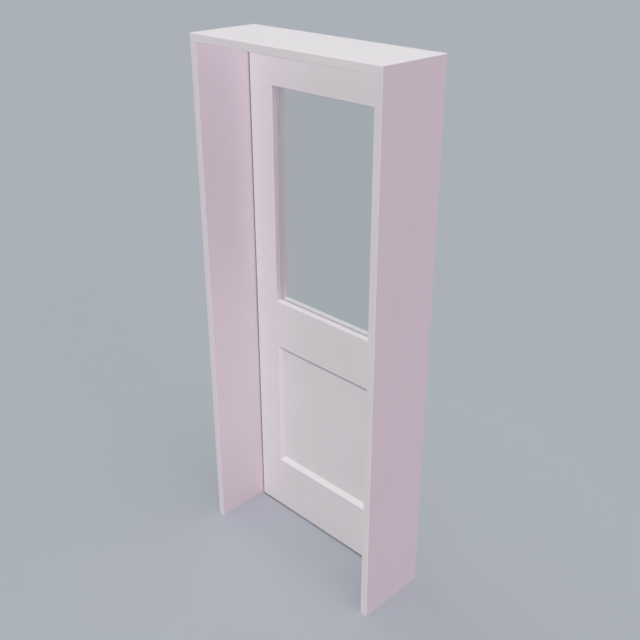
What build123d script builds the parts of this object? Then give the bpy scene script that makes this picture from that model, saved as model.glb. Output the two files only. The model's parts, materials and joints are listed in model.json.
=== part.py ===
"""Half-glazed timber door: a deep lining with one side-hung leaf on three butt hinges.

Millimetres, +Z up. The origin is on the outer face of the hinge jamb, at mid depth of the lining and at floor level.
+X runs across the doorway to the lock jamb, and +Y runs towards the side that the leaf opens to.
"""

import os

from build123d import *

# Lining
lining_width = 900.0
lining_height = 2100.0
lining_depth = 300.0
lining_thickness = 30.0
tongue_thickness = 15.0
tongue_height = 12.0

# Leaf and the gaps that it swings in
leaf_thickness = 60.0
side_gap = 5.0
head_gap = 5.0
floor_gap = 5.0
leading_bevel = 3.0
arris = 1.5

# Stiles and rails, as they show on the face
stile_width = 121.0
top_rail_height = 161.0
middle_rail_height = 207.0
bottom_rail_height = 243.0
panel_opening_height = 580.0

# Stub tenons of the rails
tenon_length = 65.0
tenon_thickness = 18.0
tenon_shoulder = 25.0
tenon_spacing = 30.0
tenon_fit = 0.2

# Glazing, from the front face backwards
glass_thickness = 10.0
seal_thickness = 2.0
rebate_width = 12.0
glass_edge_gap = 3.0

# Lower panel and the splayed mouldings round it
panel_thickness = 30.0
panel_tongue_thickness = 14.0
panel_tongue_length = 10.0
panel_edge_gap = 2.0
mould_width = 20.0
mould_nib = 1.0

# Butt hinges
hinge_height = 100.0
hinge_plate_thickness = 3.0
hinge_plate_reach = 36.0
barrel_diameter = 14.0
barrel_clearance = 0.5
pin_diameter = 7.0
pin_clearance = 0.05
knuckle_count = 5
knuckle_gap = 0.4
pin_proud = 1.5
top_hinge_drop = 150.0
bottom_hinge_rise = 225.0
screw_hole_diameter = 5.0
screw_head_diameter = 9.5
screw_edge_distance = 9.0
screw_pitch = 25.0
screw_count = 4

# Places worked out from the sizes above
front_y = -lining_depth / 2
back_y = lining_depth / 2
soffit_z = lining_height - lining_thickness
doorway_width = lining_width - 2 * lining_thickness
leaf_front_y = back_y - leaf_thickness
leaf_middle_y = back_y - leaf_thickness / 2
leaf_left_x = lining_thickness + side_gap
leaf_right_x = lining_width - lining_thickness - side_gap
leaf_bottom_z = floor_gap
leaf_top_z = soffit_z - head_gap

sight_left_x = leaf_left_x + stile_width
sight_right_x = leaf_right_x - stile_width
sight_width = sight_right_x - sight_left_x
panel_bottom_z = leaf_bottom_z + bottom_rail_height
panel_top_z = panel_bottom_z + panel_opening_height
glass_bottom_z = panel_top_z + middle_rail_height
glass_top_z = leaf_top_z - top_rail_height
glass_opening_height = glass_top_z - glass_bottom_z
glass_centre = ((sight_left_x + sight_right_x) / 2, (glass_bottom_z + glass_top_z) / 2)
panel_centre = ((sight_left_x + sight_right_x) / 2, (panel_bottom_z + panel_top_z) / 2)

glass_front_y = leaf_middle_y - glass_thickness / 2
glass_back_y = leaf_middle_y + glass_thickness / 2
rebate_face_y = glass_front_y - seal_thickness
bead_face_y = glass_back_y + seal_thickness
panel_front_y = leaf_middle_y - panel_thickness / 2
panel_back_y = leaf_middle_y + panel_thickness / 2

axis_x = lining_thickness + side_gap / 2
axis_y = back_y + barrel_clearance + barrel_diameter / 2
top_hinge_z = leaf_top_z - top_hinge_drop - hinge_height / 2
bottom_hinge_z = leaf_bottom_z + bottom_hinge_rise + hinge_height / 2
hinge_levels = {
    "top": top_hinge_z,
    "middle": (top_hinge_z + bottom_hinge_z) / 2,
    "bottom": bottom_hinge_z,
}

os.makedirs("parts", exist_ok=True)


def save(builder, name):
    """Labels a finished sub-part and writes it under the same name."""
    builder.part.label = name
    export_step(builder.part, f"parts/{name}.step")


def elevation(y):
    """The upright plane at y, drawn on in X and Z; an extrude of a negative amount runs towards +Y."""
    return Plane.XZ.offset(-y)


def framed(centre, width, height):
    """Draws a rectangle about a centre in the sketch that is open."""
    with Locations(centre):
        Rectangle(width, height)


# Openings, as the shapes that they take out of every member round them


def eased_opening(face_y, inward, centre, width, height):
    """A mitred 45 degree taper that eases the arris round an opening in one face."""
    face = Plane(origin=(centre[0], face_y, centre[1]), x_dir=(1, 0, 0), z_dir=(0, inward, 0))
    with BuildPart() as taper:
        with BuildSketch(face):
            Rectangle(width + 2 * arris, height + 2 * arris)
        extrude(amount=arris, taper=45)
    return taper.part


def doorway_arrises():
    """The eased arrises of the doorway on the front and back of the lining."""
    foot = (lining_width / 2, 0)
    return [
        eased_opening(front_y, 1, foot, doorway_width, 2 * soffit_z),
        eased_opening(back_y, -1, foot, doorway_width, 2 * soffit_z),
    ]


with BuildPart() as glazing_space:
    with BuildSketch(elevation(rebate_face_y)):
        framed(glass_centre, sight_width + 2 * rebate_width, glass_opening_height + 2 * rebate_width)
    extrude(amount=-(back_y - rebate_face_y))
    add(eased_opening(leaf_front_y, 1, glass_centre, sight_width, glass_opening_height))

with BuildPart() as panel_groove:
    groove_depth = panel_tongue_length + panel_edge_gap
    with BuildSketch(elevation(leaf_middle_y)):
        framed(panel_centre, sight_width + 2 * groove_depth, panel_opening_height + 2 * groove_depth)
    extrude(amount=panel_tongue_thickness / 2, both=True)


def hinge_recesses(face_x, inward):
    """The shallow beds that let the hinge plates into a face; inward is the way into the timber along X."""
    face = Plane(origin=(face_x, back_y, 0), x_dir=(0, 1, 0), z_dir=(inward, 0, 0))
    with BuildPart() as beds:
        with BuildSketch(face):
            with Locations(*[(0, inward * level) for level in hinge_levels.values()]):
                Rectangle(hinge_plate_reach, hinge_height, align=(Align.MAX, Align.CENTER))
        extrude(amount=hinge_plate_thickness)
    return beds.part


# Lining: two jambs tongued into a head that runs over them


def draw_tongue(inner_x, jamb_side):
    """Draws the tongue of a jamb in plan, flush with the jamb's inner face."""
    with Locations((inner_x, 0)):
        Rectangle(tongue_thickness, lining_depth, align=(jamb_side, Align.CENTER))


def build_jamb(outer_x, inner_x, jamb_side):
    """One jamb; jamb_side says on which side of its inner face the jamb lies."""
    with BuildPart() as jamb:
        with BuildSketch():
            with Locations((inner_x, 0)):
                Rectangle(lining_thickness, lining_depth, align=(jamb_side, Align.CENTER))
        extrude(amount=soffit_z)
        chamfer(jamb.edges().filter_by(Axis.Z).filter_by_position(Axis.X, outer_x, outer_x), arris)
        with BuildSketch(Plane.XY.offset(soffit_z)):
            draw_tongue(inner_x, jamb_side)
        extrude(amount=tongue_height)
        add(doorway_arrises(), mode=Mode.SUBTRACT)
    return jamb


with BuildPart() as hinge_jamb:
    add(build_jamb(0, lining_thickness, Align.MAX).part)
    add(hinge_recesses(lining_thickness, -1), mode=Mode.SUBTRACT)
save(hinge_jamb, "hinge_jamb")

lock_jamb = build_jamb(lining_width, lining_width - lining_thickness, Align.MIN)
save(lock_jamb, "lock_jamb")

with BuildPart() as head:
    with BuildSketch(Plane.XY.offset(soffit_z)):
        with Locations((lining_width / 2, 0)):
            Rectangle(lining_width, lining_depth)
    extrude(amount=lining_thickness)
    chamfer(head.edges().filter_by(Axis.Z) + head.faces().sort_by(Axis.Z)[-1].edges(), arris)
    with BuildSketch(Plane.XY.offset(soffit_z)):
        draw_tongue(lining_thickness, Align.MAX)
        draw_tongue(lining_width - lining_thickness, Align.MIN)
    extrude(amount=tongue_height, mode=Mode.SUBTRACT)
    add(doorway_arrises(), mode=Mode.SUBTRACT)
save(head, "head")

# Leaf: stiles and rails with stub tenons, rebated for the glass and grooved for the panel

# The bottom and top of each rail, and how many tenons each of its ends has
rails = {
    "top_rail": (glass_top_z, leaf_top_z, 1),
    "middle_rail": (panel_top_z, glass_bottom_z, 2),
    "bottom_rail": (leaf_bottom_z, panel_bottom_z, 2),
}


def draw_tenons(low_z, high_z, count, grow):
    """Draws a rail's tenons as strips that run across the leaf, larger by grow all round."""
    room = high_z - low_z - 2 * tenon_shoulder - (count - 1) * tenon_spacing
    tenon_height = room / count
    reach = sight_width + 2 * tenon_length
    with Locations((glass_centre[0], (low_z + high_z) / 2)):
        with GridLocations(0, tenon_height + tenon_spacing, 1, count):
            Rectangle(reach + 2 * grow, tenon_height + 2 * grow)


with BuildPart() as mortices:
    with BuildSketch(elevation(leaf_middle_y)):
        for rail_size in rails.values():
            draw_tenons(*rail_size, tenon_fit)
    extrude(amount=tenon_thickness / 2 + tenon_fit, both=True)


def build_stile(outer_x, inner_x, bevel):
    """One stile; bevel is how far the front arris of its outer edge is cut back along X."""
    with BuildPart() as stile:
        with BuildSketch(Plane.XY.offset(leaf_bottom_z)):
            with BuildLine():
                Polyline(
                    (inner_x, leaf_front_y),
                    (outer_x - bevel, leaf_front_y),
                    (outer_x, back_y),
                    (inner_x, back_y),
                    close=True,
                )
            make_face()
        extrude(amount=leaf_top_z - leaf_bottom_z)
        outer_edges = stile.edges().filter_by(Axis.Z).sort_by_distance((outer_x, leaf_middle_y, 0))[:2]
        chamfer(outer_edges, arris)
        add([glazing_space.part, panel_groove.part, mortices.part], mode=Mode.SUBTRACT)
    return stile


with BuildPart() as hinge_stile:
    add(build_stile(leaf_left_x, sight_left_x, 0).part)
    add(hinge_recesses(leaf_left_x, 1), mode=Mode.SUBTRACT)
save(hinge_stile, "hinge_stile")

lock_stile = build_stile(leaf_right_x, sight_right_x, leading_bevel)
save(lock_stile, "lock_stile")

for rail_name, (low_z, high_z, tenon_count) in rails.items():
    with BuildPart() as rail:
        with BuildSketch(elevation(leaf_front_y)):
            framed((glass_centre[0], (low_z + high_z) / 2), sight_width, high_z - low_z)
        extrude(amount=-leaf_thickness)
        add([glazing_space.part, panel_groove.part], mode=Mode.SUBTRACT)
        with BuildSketch(elevation(leaf_middle_y)):
            draw_tenons(low_z, high_z, tenon_count, 0)
        extrude(amount=tenon_thickness / 2, both=True)
    save(rail, rail_name)

# Glazing: pane, bedding strips and mitred beads flush with the sight line

pane_overlap = rebate_width - glass_edge_gap
pane_width = sight_width + 2 * pane_overlap
pane_height = glass_opening_height + 2 * pane_overlap

with BuildPart() as glass_pane:
    with BuildSketch(elevation(glass_front_y)):
        framed(glass_centre, pane_width, pane_height)
    extrude(amount=-glass_thickness)
save(glass_pane, "glass_pane")

for seal_name, seal_y in (("front", rebate_face_y), ("back", glass_back_y)):
    with BuildPart() as seal:
        with BuildSketch(elevation(seal_y)):
            with Locations(glass_centre):
                Rectangle(pane_width, pane_height)
                Rectangle(sight_width, glass_opening_height, mode=Mode.SUBTRACT)
        extrude(amount=-seal_thickness)
    save(seal, f"glazing_seal_{seal_name}")

# Which way each bar of a mitred frame faces into its opening
frame_sides = {
    "top": Vector(0, 0, -1),
    "bottom": Vector(0, 0, 1),
    "hinge_side": Vector(1, 0, 0),
    "lock_side": Vector(-1, 0, 0),
}


def mitred_bar(centre, width, height, inward, seat_y, outward, section):
    """One bar of a mitred frame that lines a rectangular opening.

    The opening is width by height about its centre. The section's points are (in from the opening's edge, out from
    the seat), and outward is the way out along Y.
    """
    out = Vector(0, outward, 0)
    run = inward.cross(out)
    length, reach = (height, width / 2) if inward.X else (width, height / 2)
    edge = Vector(centre[0], seat_y, centre[1]) - inward * reach
    bar_width = max(point[0] for point in section)
    bar_depth = max(point[1] for point in section)
    with BuildPart() as bar:
        with BuildSketch(Plane(origin=edge, x_dir=inward, z_dir=run)):
            with BuildLine():
                Polyline(*section, close=True)
            make_face()
        extrude(amount=length / 2, both=True)
        with BuildSketch(Plane(origin=edge, x_dir=inward, z_dir=out)):
            with BuildLine():
                Polyline(
                    (0, -length / 2),
                    (0, length / 2),
                    (bar_width, length / 2 - bar_width),
                    (bar_width, -length / 2 + bar_width),
                    close=True,
                )
            make_face()
        extrude(amount=bar_depth, mode=Mode.INTERSECT)
    return bar


bead_depth = back_y - bead_face_y
bead_section = (
    (0, 0),
    (rebate_width, 0),
    (rebate_width, bead_depth - arris),
    (rebate_width - arris, bead_depth),
    (0, bead_depth),
)
rebate_size = (sight_width + 2 * rebate_width, glass_opening_height + 2 * rebate_width)
for side, inward in frame_sides.items():
    bead = mitred_bar(glass_centre, *rebate_size, inward, bead_face_y, 1, bead_section)
    save(bead, f"glazing_bead_{side}")

# Lower panel: a thick panel tongued into the frame, with a splayed moulding round each face

with BuildPart() as lower_panel:
    with BuildSketch(elevation(leaf_middle_y)):
        framed(panel_centre, sight_width, panel_opening_height)
    extrude(amount=panel_thickness / 2, both=True)
    with BuildSketch(elevation(leaf_middle_y)):
        framed(panel_centre, sight_width + 2 * panel_tongue_length, panel_opening_height + 2 * panel_tongue_length)
    extrude(amount=panel_tongue_thickness / 2, both=True)
save(lower_panel, "lower_panel")

mould_depth = (leaf_thickness - panel_thickness) / 2
mould_section = (
    (0, 0),
    (mould_width, 0),
    (mould_width, mould_nib),
    (mould_nib, mould_depth),
    (0, mould_depth),
)
panel_size = (sight_width, panel_opening_height)
for face_name, seat_y, outward in (("front", panel_front_y, -1), ("back", panel_back_y, 1)):
    for side, inward in frame_sides.items():
        mould = mitred_bar(panel_centre, *panel_size, inward, seat_y, outward, mould_section)
        save(mould, f"panel_mould_{face_name}_{side}")

# Butt hinges: two plates with interleaved knuckles on a pin, let in flush, with the barrel clear of the back

knuckle_pitch = hinge_height / knuckle_count
screw_row = hinge_plate_reach / 2 - screw_edge_distance


def build_hinge_plate(level, side, own_knuckles):
    """A hinge plate with its knuckles; side is -1 in the jamb and +1 in the leaf."""
    face_x = axis_x + side * side_gap / 2
    foot_z = level - hinge_height / 2
    face = Plane(origin=(face_x, back_y - hinge_plate_reach / 2, level), x_dir=(0, 1, 0), z_dir=(-side, 0, 0))
    with BuildPart() as plate:
        with BuildSketch(face):
            with Locations((-hinge_plate_reach / 2, 0)):
                plate_width = hinge_plate_reach + axis_y - back_y
                Rectangle(plate_width, hinge_height, align=(Align.MIN, Align.CENTER))
        extrude(amount=-hinge_plate_thickness)
        for index in range(knuckle_count):
            own = index in own_knuckles
            gap = knuckle_gap / 2 if own else -knuckle_gap / 2
            radius = barrel_diameter / 2 if own else barrel_diameter / 2 + knuckle_gap
            with BuildSketch(Plane.XY.offset(foot_z + index * knuckle_pitch + gap)):
                with Locations((axis_x, axis_y)):
                    Circle(radius)
            extrude(amount=knuckle_pitch - 2 * gap, mode=Mode.ADD if own else Mode.SUBTRACT)
        with Locations((axis_x, axis_y, foot_z + hinge_height)):
            Hole(pin_diameter / 2 + pin_clearance, depth=hinge_height)
        for index in range(screw_count):
            row = screw_row if index % 2 == 0 else -screw_row
            rise = (index - (screw_count - 1) / 2) * screw_pitch
            with Locations(face * Location((row, -side * rise, 0))):
                Cone(
                    screw_hole_diameter / 2,
                    screw_head_diameter / 2,
                    hinge_plate_thickness,
                    align=(Align.CENTER, Align.CENTER, Align.MAX),
                    mode=Mode.SUBTRACT,
                )
    return plate


def build_hinge_pin(level):
    """A plain pin through all the knuckles that stands a little proud at each end."""
    with BuildPart() as pin:
        with BuildSketch(Plane.XY.offset(level)):
            with Locations((axis_x, axis_y)):
                Circle(pin_diameter / 2)
        extrude(amount=hinge_height / 2 + pin_proud, both=True)
    return pin


for hinge_name, level in hinge_levels.items():
    save(build_hinge_plate(level, -1, range(0, knuckle_count, 2)), f"hinge_{hinge_name}_jamb_plate")
    save(build_hinge_plate(level, 1, range(1, knuckle_count, 2)), f"hinge_{hinge_name}_leaf_plate")
    save(build_hinge_pin(level), f"hinge_{hinge_name}_pin")
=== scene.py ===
"""Looks of the half-glazed door: satin white paint, clear glass, satin steel hinges and their screws."""

import json
import math

import bmesh
import bpy
from mathutils import Matrix, Vector


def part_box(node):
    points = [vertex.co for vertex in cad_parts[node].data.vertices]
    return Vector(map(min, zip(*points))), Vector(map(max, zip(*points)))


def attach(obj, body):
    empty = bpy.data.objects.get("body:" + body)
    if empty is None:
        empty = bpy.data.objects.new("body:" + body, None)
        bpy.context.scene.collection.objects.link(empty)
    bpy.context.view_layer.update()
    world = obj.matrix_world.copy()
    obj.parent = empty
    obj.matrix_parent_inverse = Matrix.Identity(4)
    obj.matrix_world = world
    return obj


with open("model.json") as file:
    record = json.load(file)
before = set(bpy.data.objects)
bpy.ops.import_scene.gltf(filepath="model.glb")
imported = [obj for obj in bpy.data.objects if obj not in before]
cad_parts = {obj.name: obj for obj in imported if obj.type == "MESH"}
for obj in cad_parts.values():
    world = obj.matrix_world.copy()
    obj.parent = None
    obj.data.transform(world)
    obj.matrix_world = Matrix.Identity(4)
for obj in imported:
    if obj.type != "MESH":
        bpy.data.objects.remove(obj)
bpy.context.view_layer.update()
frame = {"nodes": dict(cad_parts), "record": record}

nodes = frame["nodes"]
scene = bpy.context.scene

# Sizes are in metres, angles in degrees, and colours are linear red, green and blue
UPRIGHT = 2

# Noise: its values lie mostly between low and high
NOISE_LOW = 0.3
NOISE_HIGH = 0.7
NOISE_DETAIL = 3.0
NOISE_ROUGHNESS = 0.55

# White paint on timber
PAINT_PALE = (0.770, 0.740, 0.760)
PAINT_DEEP = (0.750, 0.719, 0.740)
PAINT_CLOUD = 0.2
PAINT_ROUGHNESS = (0.34, 0.46)
PAINT_IOR = 1.48
BRUSH_WIDTH = 0.0022
BRUSH_LENGTH = 0.16
BRUSH_DEPTH = 0.00010
GRAIN_WIDTH = 0.010
GRAIN_LENGTH = 0.73
GRAIN_DEPTH = 0.00022
GRAIN_DETAIL = 5.0
GRAIN_ROUGHNESS = 0.6
EDGE_ROUNDING = 0.0005
EDGE_SEGMENTS = 2
SHARP_ANGLE = 30.0

# Glass
GLASS_TINT = (0.948, 0.962, 0.957)
GLASS_MIRROR = 0.04
GRAZING_POWER = 5.0

# Hinge steel
STEEL_PALE = (0.56, 0.56, 0.57)
STEEL_DEEP = (0.44, 0.44, 0.455)
STEEL_CLOUD = 0.014
STEEL_ROUGHNESS = (0.26, 0.40)
STEEL_LINE_WIDTH = 0.0004
STEEL_LINE_LENGTH = 0.016
STEEL_LINE_DEPTH = 0.00002

# Glazing tape: grey of its own, darkened further as painted shade of the rebate slot it sits in
TAPE_AND_SHADE_PALE = (0.61, 0.58, 0.60)
TAPE_AND_SHADE_DEEP = (0.56, 0.53, 0.55)
TAPE_CELL = 0.0007
TAPE_CELL_DEPTH = 0.0001
TAPE_CELL_DETAIL = 2.0
TAPE_ROUGHNESS = 0.8

# Countersunk screws, placed as the holes of the hinge plates are
SCREW_COUNT = 4
SCREW_PITCH = 0.025
SCREW_EDGE_DISTANCE = 0.009
SCREW_HEAD_RADIUS = 0.0045
SCREW_SHANK_RADIUS = 0.0024
SCREW_HEAD_DEPTH = 0.0026
SCREW_SET_IN = 0.0002
SCREW_TURN_EACH = 37.0
SCREW_TURN_SIDE = 11.0
RECESS_WIDTH = 0.0011
RECESS_REACH = 0.0026
RECESS_DEPTH = 0.0014
RECESS_TAPER = 0.45
PLATE_REACH = 0.036
ROUND_STEPS = 32

# Floor, backdrop and light
FLOOR_NAME = "floor"
FLOOR_SIZE = 160.0
FLOOR_COLOUR = (0.76, 0.82, 0.89)
FLOOR_BOUNCE = (0.08, 0.08, 0.08)
FLOOR_ROUGHNESS = 0.9
FLOOR_GLOSS = 0.0
BACKDROP_LEVEL = 0.535
SKY_LIGHT = 0.30
WHITE_LIGHT = (1.0, 1.0, 1.0)
SIDE_LIGHT = (1.0, 0.78, 0.95)

# Camera
CAMERA_PLACE = (2.5872, -2.0901, 2.5621)
CAMERA_AZIMUTH = 45.016
CAMERA_ELEVATION = 26.339
CAMERA_LENS = 49.433
CAMERA_SENSOR = 36.0


# Node tree helpers

def new_material(name):
    """A new material with its tree and principled shader: (material, tree, shader)."""
    material = bpy.data.materials.new(name)
    material.use_nodes = True
    tree = material.node_tree
    return material, tree, tree.nodes["Principled BSDF"]


def add_node(tree, kind, **settings):
    """A node of that kind, with settings for its properties."""
    node = tree.nodes.new(kind)
    for key, value in settings.items():
        setattr(node, key, value)
    return node


def noise(tree, sizes, detail=NOISE_DETAIL, roughness=NOISE_ROUGHNESS):
    """A noise value in the part's own frame; sizes are those of its patches along X, Y and Z."""
    place = add_node(tree, "ShaderNodeTexCoord")
    mapping = add_node(tree, "ShaderNodeMapping")
    mapping.inputs["Scale"].default_value = [1.0 / size for size in sizes]
    texture = add_node(tree, "ShaderNodeTexNoise")
    texture.inputs["Scale"].default_value = 1.0
    texture.inputs["Detail"].default_value = detail
    texture.inputs["Roughness"].default_value = roughness
    tree.links.new(place.outputs["Object"], mapping.inputs["Vector"])
    tree.links.new(mapping.outputs["Vector"], texture.inputs["Vector"])
    return texture.outputs["Fac"]


def patches(tree, size, detail=NOISE_DETAIL):
    """Noise in patches of one size."""
    return noise(tree, (size, size, size), detail)


def streaks(tree, axis, width, length, detail=NOISE_DETAIL, roughness=NOISE_ROUGHNESS):
    """Noise drawn out along an axis, which is 0, 1 or 2 for X, Y or Z."""
    sizes = [width, width, width]
    sizes[axis] = length
    return noise(tree, sizes, detail, roughness)


def spread(tree, value, low, high):
    """Maps a noise value to the range from low to high."""
    remap = add_node(tree, "ShaderNodeMapRange")
    remap.inputs["From Min"].default_value = NOISE_LOW
    remap.inputs["From Max"].default_value = NOISE_HIGH
    remap.inputs["To Min"].default_value = low
    remap.inputs["To Max"].default_value = high
    tree.links.new(value, remap.inputs["Value"])
    return remap.outputs["Result"]


def two_tone(tree, value, deep, pale):
    """A colour between deep and pale, by a noise value."""
    ramp = add_node(tree, "ShaderNodeValToRGB")
    first, last = ramp.color_ramp.elements
    first.position = NOISE_LOW
    first.color = (*deep, 1.0)
    last.position = NOISE_HIGH
    last.color = (*pale, 1.0)
    tree.links.new(value, ramp.inputs["Fac"])
    return ramp.outputs["Color"]


def bump(tree, height, depth, below=None):
    """A bump of that depth, on top of the bump below it."""
    relief = add_node(tree, "ShaderNodeBump")
    relief.inputs["Strength"].default_value = 1.0
    relief.inputs["Distance"].default_value = depth
    tree.links.new(height, relief.inputs["Height"])
    if below is not None:
        tree.links.new(below, relief.inputs["Normal"])
    return relief.outputs["Normal"]


def seen_directly(tree):
    """1 for rays that look at a surface, straight, in a mirror or through glass, and 0 for spread light."""
    path = add_node(tree, "ShaderNodeLightPath")
    seen = path.outputs["Is Camera Ray"]
    for kind in ("Is Glossy Ray", "Is Transmission Ray"):
        either = add_node(tree, "ShaderNodeMath", operation="MAXIMUM")
        tree.links.new(seen, either.inputs[0])
        tree.links.new(path.outputs[kind], either.inputs[1])
        seen = either.outputs["Value"]
    return seen


# Materials

def painted_timber(name, grain):
    """Satin white paint brushed along the timber's grain, which just shows; grain is an axis, 0, 1 or 2."""
    material, tree, shader = new_material(name)
    strokes = streaks(tree, grain, BRUSH_WIDTH, BRUSH_LENGTH)
    grain_lines = streaks(tree, grain, GRAIN_WIDTH, GRAIN_LENGTH, GRAIN_DETAIL, GRAIN_ROUGHNESS)
    colour = two_tone(tree, patches(tree, PAINT_CLOUD), PAINT_DEEP, PAINT_PALE)
    relief = bump(tree, strokes, BRUSH_DEPTH, below=bump(tree, grain_lines, GRAIN_DEPTH))
    tree.links.new(colour, shader.inputs["Base Color"])
    tree.links.new(spread(tree, strokes, *PAINT_ROUGHNESS), shader.inputs["Roughness"])
    tree.links.new(relief, shader.inputs["Normal"])
    shader.inputs["IOR"].default_value = PAINT_IOR
    return material


def clear_glass():
    """Float glass: a faint grey film on each face, with a mirror that grows towards grazing angles."""
    material, tree, shader = new_material("clear_float_glass")
    tree.nodes.remove(shader)
    film = add_node(tree, "ShaderNodeBsdfTransparent")
    film.inputs["Color"].default_value = (*GLASS_TINT, 1.0)
    mirror = add_node(tree, "ShaderNodeBsdfGlossy")
    mirror.inputs["Roughness"].default_value = 0.0
    slant = add_node(tree, "ShaderNodeLayerWeight")
    grazing = add_node(tree, "ShaderNodeMath", operation="POWER")
    grazing.inputs[1].default_value = GRAZING_POWER
    share = add_node(tree, "ShaderNodeMath", operation="MULTIPLY_ADD")
    share.inputs[1].default_value = 1.0 - GLASS_MIRROR
    share.inputs[2].default_value = GLASS_MIRROR
    mix = add_node(tree, "ShaderNodeMixShader")
    tree.links.new(slant.outputs["Facing"], grazing.inputs[0])
    tree.links.new(grazing.outputs["Value"], share.inputs[0])
    tree.links.new(share.outputs["Value"], mix.inputs["Fac"])
    tree.links.new(film.outputs["BSDF"], mix.inputs[1])
    tree.links.new(mirror.outputs["BSDF"], mix.inputs[2])
    tree.links.new(mix.outputs["Shader"], tree.nodes["Material Output"].inputs["Surface"])
    return material


def satin_steel():
    """Steel with fine upright brushing and slight clouding."""
    material, tree, shader = new_material("satin_steel")
    lines = streaks(tree, UPRIGHT, STEEL_LINE_WIDTH, STEEL_LINE_LENGTH)
    colour = two_tone(tree, patches(tree, STEEL_CLOUD), STEEL_DEEP, STEEL_PALE)
    tree.links.new(colour, shader.inputs["Base Color"])
    tree.links.new(spread(tree, lines, *STEEL_ROUGHNESS), shader.inputs["Roughness"])
    tree.links.new(bump(tree, lines, STEEL_LINE_DEPTH), shader.inputs["Normal"])
    shader.inputs["Metallic"].default_value = 1.0
    return material


def glazing_tape():
    """Pale grey closed-cell tape with a fine pebbled face; the grey is partly painted shade of its rebate
    slot.
    """
    material, tree, shader = new_material("glazing_tape")
    cells = patches(tree, TAPE_CELL, TAPE_CELL_DETAIL)
    # The tape's colour carries painted shade of the rebate slot, which the front fill lights without shadow
    tree.links.new(two_tone(tree, cells, TAPE_AND_SHADE_DEEP, TAPE_AND_SHADE_PALE), shader.inputs["Base Color"])
    tree.links.new(bump(tree, cells, TAPE_CELL_DEPTH), shader.inputs["Normal"])
    shader.inputs["Roughness"].default_value = TAPE_ROUGHNESS
    return material


def floor_paint():
    """A plain pale floor that throws little of its colour back on the door."""
    material, tree, shader = new_material("plain_floor")
    colour = add_node(tree, "ShaderNodeMix", data_type="RGBA")
    colour.inputs["A"].default_value = (*FLOOR_BOUNCE, 1.0)
    colour.inputs["B"].default_value = (*FLOOR_COLOUR, 1.0)
    tree.links.new(seen_directly(tree), colour.inputs["Factor"])
    tree.links.new(colour.outputs["Result"], shader.inputs["Base Color"])
    shader.inputs["Roughness"].default_value = FLOOR_ROUGHNESS
    shader.inputs["Specular IOR Level"].default_value = FLOOR_GLOSS
    return material


# Dressing the solids

def long_axis(name):
    """Which axis a node is longest along: 0, 1 or 2."""
    low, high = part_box(name)
    size = high - low
    return max(range(3), key=lambda axis: size[axis])


def round_edges(piece):
    """Eases the sharp edges of a node a little, as paint and sandpaper do."""
    rounding = piece.modifiers.new("eased_edges", "BEVEL")
    rounding.width = EDGE_ROUNDING
    rounding.segments = EDGE_SEGMENTS
    rounding.limit_method = "ANGLE"
    rounding.angle_limit = math.radians(SHARP_ANGLE)
    rounding.harden_normals = True


def dress_nodes():
    """Gives every node its material, and the painted ones their eased edges, and returns the steel.

    Grain runs along each timber, and up the panel.
    """
    slots = {part["node"]: part["material_slot"] for part in frame["record"]["subparts"]}
    paints = [painted_timber(f"white_paint_along_{axis}", index) for index, axis in enumerate("xyz")]
    others = {"clear_glass": clear_glass(), "satin_steel": satin_steel(), "glazing_tape": glazing_tape()}
    for name, piece in nodes.items():
        slot = slots[name]
        piece.data.materials.clear()
        if slot == "white_paint":
            grain = UPRIGHT if name == "lower_panel" else long_axis(name)
            piece.data.materials.append(paints[grain])
            round_edges(piece)
        else:
            piece.data.materials.append(others[slot])
    return others["satin_steel"]


# Screws of the hinge plates

def mesh_object(editor, name):
    """Turns a mesh editor into an object in the scene."""
    mesh = bpy.data.meshes.new(name)
    editor.to_mesh(mesh)
    editor.free()
    piece = bpy.data.objects.new(name, mesh)
    scene.collection.objects.link(piece)
    return piece


def screw_blank():
    """A countersunk head without its recess, its top at z 0 and its axis along Z."""
    editor = bmesh.new()
    bmesh.ops.create_cone(
        editor,
        cap_ends=True,
        segments=ROUND_STEPS,
        radius1=SCREW_SHANK_RADIUS,
        radius2=SCREW_HEAD_RADIUS,
        depth=SCREW_HEAD_DEPTH,
        matrix=Matrix.Translation((0, 0, -SCREW_HEAD_DEPTH / 2)),
    )
    return mesh_object(editor, "screw_blank")


def cross_recess():
    """The cutter of a driver's cross recess, tapered to its bottom."""
    editor = bmesh.new()
    for turn in (0.0, math.pi / 2):
        bar = bmesh.ops.create_cube(editor, size=2.0)["verts"]
        for vert in bar:
            taper = RECESS_TAPER if vert.co.z < 0 else 1.0
            vert.co.x *= RECESS_REACH * taper
            vert.co.y *= RECESS_WIDTH / 2
            vert.co.z *= RECESS_DEPTH
        bmesh.ops.rotate(editor, verts=bar, cent=(0, 0, 0), matrix=Matrix.Rotation(turn, 3, "Z"))
    return mesh_object(editor, "recess_cutter")


def screw_mesh():
    """The mesh of a countersunk head with its cross recess."""
    blank = screw_blank()
    cutter = cross_recess()
    cut = blank.modifiers.new("recess", "BOOLEAN")
    cut.object = cutter
    cut.operation = "DIFFERENCE"
    cut.solver = "EXACT"
    cut.use_self = True
    bpy.context.view_layer.update()
    solid = bpy.data.meshes.new_from_object(blank.evaluated_get(bpy.context.evaluated_depsgraph_get()))
    for spare in (blank, cutter):
        bpy.data.objects.remove(spare)
    return solid


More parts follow.
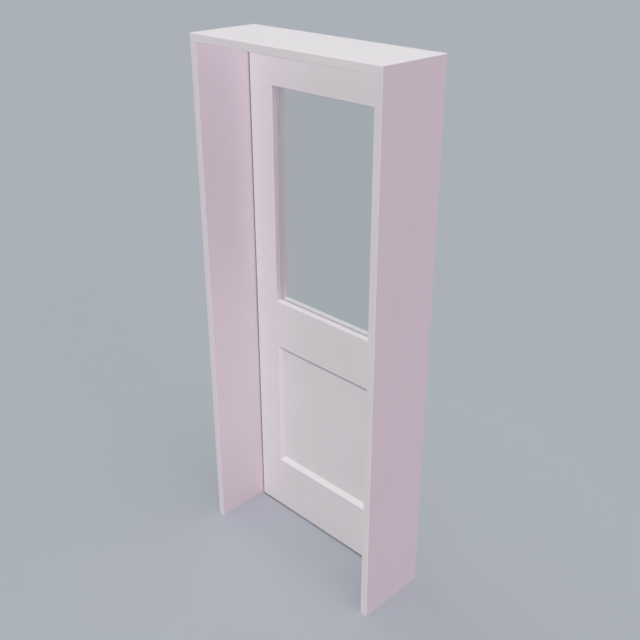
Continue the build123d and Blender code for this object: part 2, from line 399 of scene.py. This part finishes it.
def screw_places(plate, side):
    """Where the screws of one hinge plate go; side is -1 in the jamb and +1 in the leaf."""
    low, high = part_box(plate)
    barrel_middle = (low.x + high.x) / 2
    gap_half = (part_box("hinge_stile")[0].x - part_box("hinge_jamb")[1].x) / 2
    face_x = barrel_middle + side * gap_half
    row_middle = low.y + PLATE_REACH / 2
    row_offset = PLATE_REACH / 2 - SCREW_EDGE_DISTANCE
    middle_z = (low.z + high.z) / 2
    facing = Matrix.Rotation(-side * math.pi / 2, 4, "Y")
    for index in range(SCREW_COUNT):
        row = row_middle + (row_offset if index % 2 == 0 else -row_offset)
        rise = middle_z + (index - (SCREW_COUNT - 1) / 2) * SCREW_PITCH
        turn = math.radians(SCREW_TURN_EACH * index + SCREW_TURN_SIDE * side)
        place = Matrix.Translation((face_x + side * SCREW_SET_IN, row, rise))
        yield place @ facing @ Matrix.Rotation(turn, 4, "Z")


def add_screws(steel):
    """One joined mesh of screws for each hinge plate, riding with the plate's body."""
    pattern = screw_mesh()
    for level in ("top", "middle", "bottom"):
        for half, side, body in (("jamb", -1, "lining"), ("leaf", 1, "leaf")):
            editor = bmesh.new()
            for place in screw_places(f"hinge_{level}_{half}_plate", side):
                before = len(editor.verts)
                editor.from_mesh(pattern)
                editor.verts.ensure_lookup_table()
                bmesh.ops.transform(editor, matrix=place, verts=editor.verts[before:])
            screws = mesh_object(editor, f"hinge_{level}_{half}_screws")
            screws.data.materials.append(steel)
            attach(screws, body)


# Floor, light and camera

def add_floor():
    """A wide plain floor at the foot of the jambs."""
    editor = bmesh.new()
    bmesh.ops.create_grid(editor, x_segments=1, y_segments=1, size=FLOOR_SIZE / 2)
    floor = mesh_object(editor, FLOOR_NAME)
    floor.data.materials.append(floor_paint())


def add_world():
    """Even light from all round, in front of a backdrop of the floor's colour."""
    world = bpy.data.worlds.new("even_light")
    world.use_nodes = True
    tree = world.node_tree
    light = tree.nodes["Background"]
    light.inputs["Color"].default_value = (*WHITE_LIGHT, 1.0)
    light.inputs["Strength"].default_value = SKY_LIGHT
    backdrop = add_node(tree, "ShaderNodeBackground")
    backdrop.inputs["Color"].default_value = (*FLOOR_COLOUR, 1.0)
    backdrop.inputs["Strength"].default_value = BACKDROP_LEVEL
    mix = add_node(tree, "ShaderNodeMixShader")
    tree.links.new(seen_directly(tree), mix.inputs["Fac"])
    tree.links.new(light.outputs["Background"], mix.inputs[1])
    tree.links.new(backdrop.outputs["Background"], mix.inputs[2])
    tree.links.new(mix.outputs["Shader"], tree.nodes["World Output"].inputs["Surface"])
    scene.world = world


def add_sun(name, toward, strength, softness, colour=WHITE_LIGHT):
    """A wide soft lamp far away; toward is the way to it."""
    lamp = bpy.data.lights.new(name, "SUN")
    lamp.energy = strength
    lamp.angle = math.radians(softness)
    lamp.color = colour
    piece = bpy.data.objects.new(name, lamp)
    piece.rotation_mode = "QUATERNION"
    piece.rotation_quaternion = (-Vector(toward)).to_track_quat("-Z", "Y")
    scene.collection.objects.link(piece)
    return piece


def group(name, pieces):
    """A named set of pieces."""
    collection = bpy.data.collections.new(name)
    for piece in pieces:
        collection.objects.link(piece)
    return collection


def make_fill(lamp, receivers, blockers=None):
    """Makes a lamp a fill: no highlight, light on the receivers alone, shadow from the blockers alone."""
    lamp.visible_glossy = False
    lamp.light_linking.receiver_collection = receivers
    lamp.data.use_shadow = blockers is not None
    lamp.light_linking.blocker_collection = blockers


def add_lights():
    """Even light from all round, soft lamps overhead and at the sides, and fills that reach into the lining.

    The right fill passes through the lock jamb, so its light leaves out the lock stile, whose edge would glow
    in the gap. The floor fill stands for light from a pale floor on the underside of the head. The leaf,
    apart from its glass, shades every fill but the front one.
    """
    add_world()
    add_sun("overhead", (0.06, -0.10, 1.0), strength=0.60, softness=50.0)
    add_sun("right", (1.0, -0.12, 0.0), strength=0.60, softness=40.0, colour=SIDE_LIGHT)
    add_sun("left", (-1.0, 0.0, 0.0), strength=1.35, softness=40.0)
    right_fill = add_sun("right_fill", (1.0, -0.13, 0.0), strength=1.06, softness=6.0, colour=SIDE_LIGHT)
    front_fill = add_sun("front_fill", (0.0, -0.75, 0.66), strength=1.96, softness=20.0)
    floor_fill = add_sun("floor_fill", (0.0, -0.06, -1.0), strength=1.20, softness=6.0)
    back_fill = add_sun("back_fill", (0.0, 0.95, 0.31), strength=1.60, softness=20.0)

    pieces = [piece for piece in scene.objects if piece.type == "MESH" and piece.name != FLOOR_NAME]
    door = group("door", pieces)
    most_of_door = group("door_but_lock_stile", [piece for piece in pieces if piece.name != "lock_stile"])
    leaf_names = frame["record"]["behaviour"]["bodies"]["leaf"]
    opaque_leaf = group("leaf_but_glass", [nodes[name] for name in leaf_names if name != "glass_pane"])
    head = group("head_alone", [nodes["head"]])
    make_fill(right_fill, most_of_door, opaque_leaf)
    make_fill(front_fill, door)
    make_fill(back_fill, door, opaque_leaf)
    make_fill(floor_fill, head, opaque_leaf)


def add_camera():
    """The photograph's viewpoint."""
    azimuth = math.radians(CAMERA_AZIMUTH)
    elevation = math.radians(CAMERA_ELEVATION)
    level = math.cos(elevation)
    back = Vector((math.sin(azimuth) * level, -math.cos(azimuth) * level, math.sin(elevation)))
    lens = bpy.data.cameras.new("camera")
    lens.lens = CAMERA_LENS
    lens.sensor_width = CAMERA_SENSOR
    camera = bpy.data.objects.new("camera", lens)
    camera.location = CAMERA_PLACE
    camera.rotation_mode = "QUATERNION"
    camera.rotation_quaternion = (-back).to_track_quat("-Z", "Y")
    scene.collection.objects.link(camera)
    scene.camera = camera


scene.view_settings.view_transform = "Standard"
hinge_steel = dress_nodes()
add_screws(hinge_steel)
add_floor()
add_lights()
add_camera()
